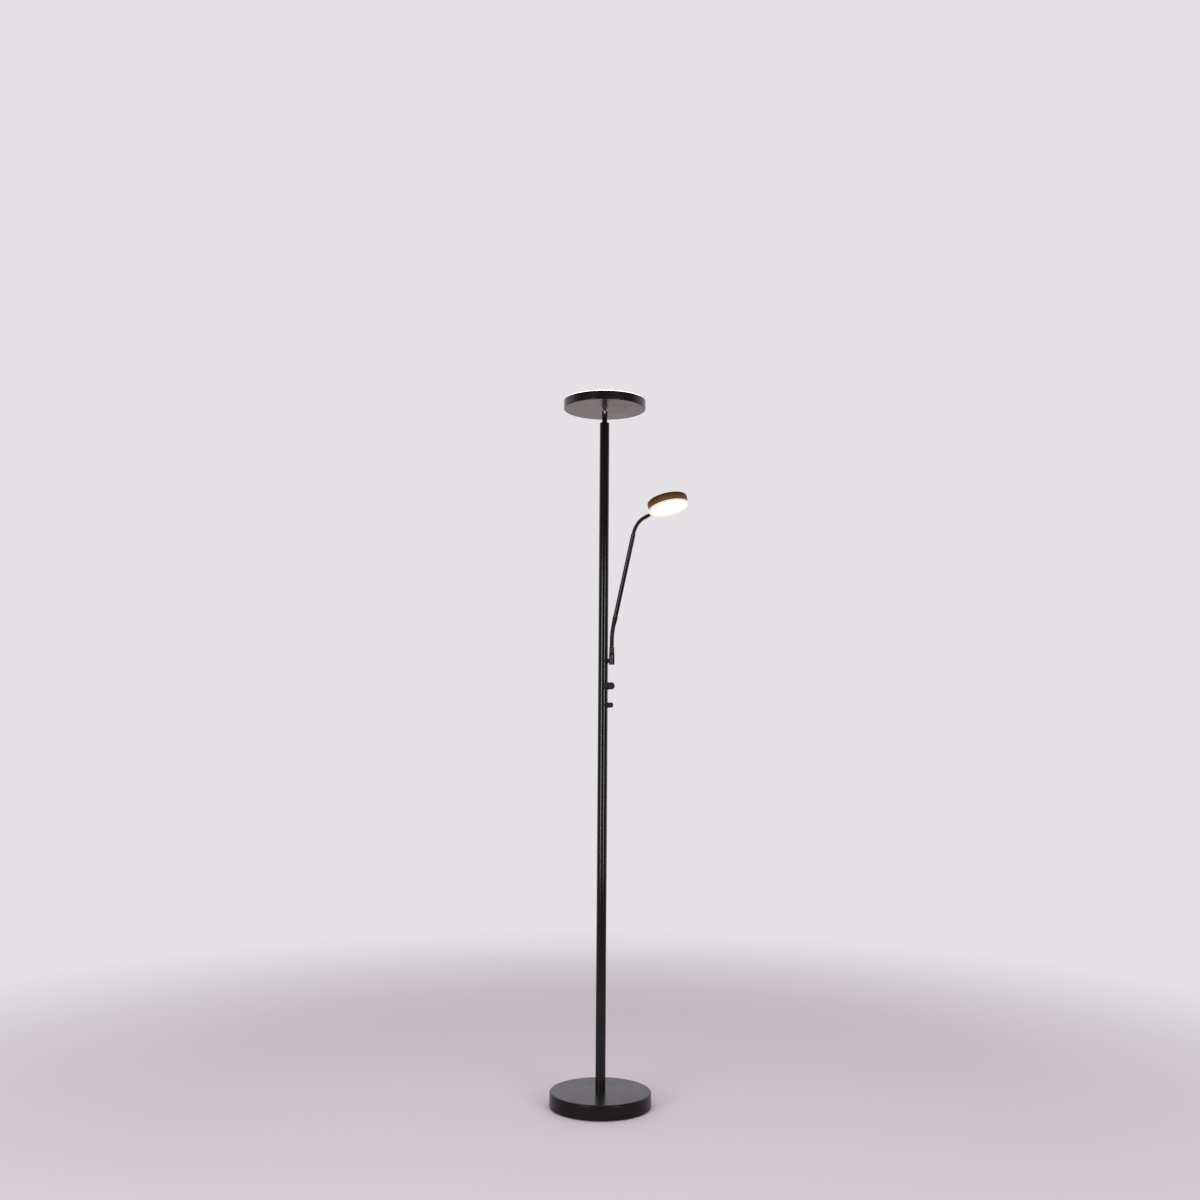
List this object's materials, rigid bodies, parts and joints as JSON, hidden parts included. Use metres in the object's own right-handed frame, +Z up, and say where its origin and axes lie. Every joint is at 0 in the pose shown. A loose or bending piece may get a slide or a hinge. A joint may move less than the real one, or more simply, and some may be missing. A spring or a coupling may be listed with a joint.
{
  "type": "torchiere floor lamp",
  "caption": "Slim black floor lamp with a tilting round uplight, a reading light on a bendable gooseneck arm, turn knobs on the pole and a heavy round base.",
  "frame": {"origin": "on the floor at the centre of the base", "axes": "+Z up along the pole; -Y is the room side; the reading arm leaves the pole halfway between +X and -Y"},
  "size_m": [0.3384, 0.3415, 1.8],
  "materials": {
    "black_paint": "satin black powder coat",
    "black_links": "satin black",
    "black_plastic": "fine satin",
    "cast_weight": "rough cast, primed",
    "plain_steel": "zinc plated",
    "nickel": "bright nickel plate",
    "dark_screws": "black oxide",
    "black_rubber": "matte",
    "driver_case": "moulded",
    "wire_sheath": "soft sheath",
    "heat_spreader": "plain sheet",
    "white_board": "white solder mask",
    "led_phosphor": "phosphor",
    "opal_uplight": "opal acrylic, lit",
    "opal_reading": "opal acrylic, lit",
    "clear_ring": "frosted acrylic, edge lit",
    "finned_black": "black anodised die casting",
    "white_reflector": "white"
  },
  "bodies": {
    "stand": {"base_pad": "black_rubber", "base_plate": "plain_steel", "base_weight": "cast_weight", "base_cover": "black_paint", "base_screws": "plain_steel", "cord_gland": "black_rubber", "led_driver": "driver_case", "pole_stud": "plain_steel", "base_nut": "plain_steel", "pole_foot": "plain_steel", "pole_lower": "black_paint", "pole_middle": "black_paint", "pole_upper": "black_paint", "pole_joiner_lower": "plain_steel", "pole_joiner_upper": "plain_steel", "pole_top_cap": "black_paint", "pole_wire": "wire_sheath", "neck_fork": "black_paint", "tilt_pin": "dark_screws", "dimmer_pot": "plain_steel", "dimmer_collar": "black_plastic", "switch_pot": "plain_steel", "switch_collar": "black_plastic", "arm_bracket": "black_paint", "bracket_nut": "plain_steel", "pivot_screw": "dark_screws"},
    "uplight": {"tilt_tongue": "nickel", "tongue_nut": "plain_steel", "uplight_pan": "black_paint", "uplight_heat_plate": "heat_spreader", "uplight_board": "white_board", "uplight_screws": "plain_steel", "uplight_leds": "led_phosphor", "uplight_diffuser": "opal_uplight"},
    "dimmer": {"dimmer_knob": "black_plastic", "dimmer_shaft": "plain_steel"},
    "reading_switch": {"switch_knob": "black_plastic", "switch_shaft": "plain_steel"},
    "arm_root": {"arm_socket": "black_paint"},
    "lower_neck_1": {"lower_link_1": "black_links"},
    "lower_neck_2": {"lower_link_2": "black_links"},
    "lower_neck_3": {"lower_link_3": "black_links"},
    "lower_neck_4": {"lower_link_4": "black_links"},
    "lower_neck_5": {"lower_link_5": "black_links"},
    "arm": {"arm_tube": "black_paint", "tube_ferrule_lower": "black_paint", "tube_ferrule_upper": "plain_steel"},
    "upper_neck_1": {"upper_link_1": "black_links"},
    "upper_neck_2": {"upper_link_2": "black_links"},
    "upper_neck_3": {"upper_link_3": "black_links"},
    "upper_neck_4": {"upper_link_4": "black_links"},
    "upper_neck_5": {"upper_link_5": "black_links"},
    "reading_head": {"arm_tip": "black_paint", "tip_nut": "plain_steel", "reading_housing": "finned_black", "reading_board": "white_board", "reading_leds": "led_phosphor", "reading_reflector": "white_reflector", "lens_ring": "clear_ring", "reading_lens": "opal_reading"}
  },
  "joints": [
    {"name": "head_tilt", "type": "hinge", "parent": "stand", "child": "uplight", "pos_m": [0, 0, 1.7662], "axis": [1, 0, 0], "range_deg": [-75, 75]},
    {"name": "dimmer_turn", "type": "hinge", "parent": "stand", "child": "dimmer", "pos_m": [0.01909, -0.01909, 1.046], "axis": [0.7071, -0.7071, 0], "range_deg": [0, 270]},
    {"name": "switch_turn", "type": "hinge", "parent": "stand", "child": "reading_switch", "pos_m": [0.01768, -0.01768, 0.997], "axis": [0.7071, -0.7071, 0], "range_deg": [0, 270]},
    {"name": "arm_swivel", "type": "hinge", "parent": "stand", "child": "arm_root", "pos_m": [0.02213, -0.02213, 1.111], "axis": [0.7071, -0.7071, 0], "range_deg": [-90, 90]},
    {"name": "lower_bend", "type": "hinge", "parent": "arm_root", "child": "lower_neck_1", "pos_m": [0.02213, -0.02213, 1.14615], "axis": [0.7071, 0.7071, 0], "range_deg": [-5, 15]},
    {"name": "lower_sway", "type": "hinge", "parent": "lower_neck_1", "child": "lower_neck_2", "pos_m": [0.02213, -0.02213, 1.15759], "axis": [0.7071, -0.7071, 0], "range_deg": [-15, 15]},
    {"name": "lower_bend_2", "type": "hinge", "parent": "lower_neck_2", "child": "lower_neck_3", "pos_m": [0.02231, -0.02231, 1.16902], "axis": [0.7071, 0.7071, 0], "range_deg": [-5, 15]},
    {"name": "lower_sway_2", "type": "hinge", "parent": "lower_neck_3", "child": "lower_neck_4", "pos_m": [0.0231, -0.0231, 1.18041], "axis": [0.7005, -0.7005, -0.136], "range_deg": [-15, 15]},
    {"name": "lower_bend_3", "type": "hinge", "parent": "lower_neck_4", "child": "lower_neck_5", "pos_m": [0.02451, -0.02451, 1.19167], "axis": [0.7071, 0.7071, 0], "range_deg": [-5, 15]},
    {"name": "lower_sway_3", "type": "hinge", "parent": "lower_neck_5", "child": "arm", "pos_m": [0.02653, -0.02653, 1.20274], "axis": [0.6773, -0.6773, -0.2874], "range_deg": [-15, 15]},
    {"name": "upper_bend", "type": "hinge", "parent": "arm", "child": "upper_neck_1", "pos_m": [0.07532, -0.07532, 1.43272], "axis": [0.7071, 0.7071, 0], "range_deg": [-25, 5]},
    {"name": "upper_sway", "type": "hinge", "parent": "upper_neck_1", "child": "upper_neck_2", "pos_m": [0.0782, -0.0782, 1.44261], "axis": [0.6241, -0.6241, -0.4701], "range_deg": [-10, 10]},
    {"name": "upper_bend_2", "type": "hinge", "parent": "upper_neck_2", "child": "upper_neck_3", "pos_m": [0.0824, -0.0824, 1.45152], "axis": [0.7071, 0.7071, 0], "range_deg": [-25, 5]},
    {"name": "upper_sway_2", "type": "hinge", "parent": "upper_neck_3", "child": "upper_neck_4", "pos_m": [0.08776, -0.08776, 1.45908], "axis": [0.4477, -0.4477, -0.7741], "range_deg": [-10, 10]},
    {"name": "upper_bend_3", "type": "hinge", "parent": "upper_neck_4", "child": "upper_neck_5", "pos_m": [0.09406, -0.09406, 1.465], "axis": [0.7071, 0.7071, 0], "range_deg": [-25, 5]},
    {"name": "upper_sway_3", "type": "hinge", "parent": "upper_neck_5", "child": "reading_head", "pos_m": [0.10106, -0.10106, 1.46906], "axis": [0.202, -0.202, -0.9583], "range_deg": [-10, 10]}
  ],
  "couplings": [
    {"joint": "lower_bend_2", "follows": "lower_bend", "ratio": 1},
    {"joint": "lower_sway_2", "follows": "lower_sway", "ratio": 1},
    {"joint": "lower_bend_3", "follows": "lower_bend", "ratio": 1},
    {"joint": "lower_sway_3", "follows": "lower_sway", "ratio": 1},
    {"joint": "upper_bend_2", "follows": "upper_bend", "ratio": 1},
    {"joint": "upper_sway_2", "follows": "upper_sway", "ratio": 1},
    {"joint": "upper_bend_3", "follows": "upper_bend", "ratio": 1},
    {"joint": "upper_sway_3", "follows": "upper_sway", "ratio": 1}
  ]
}
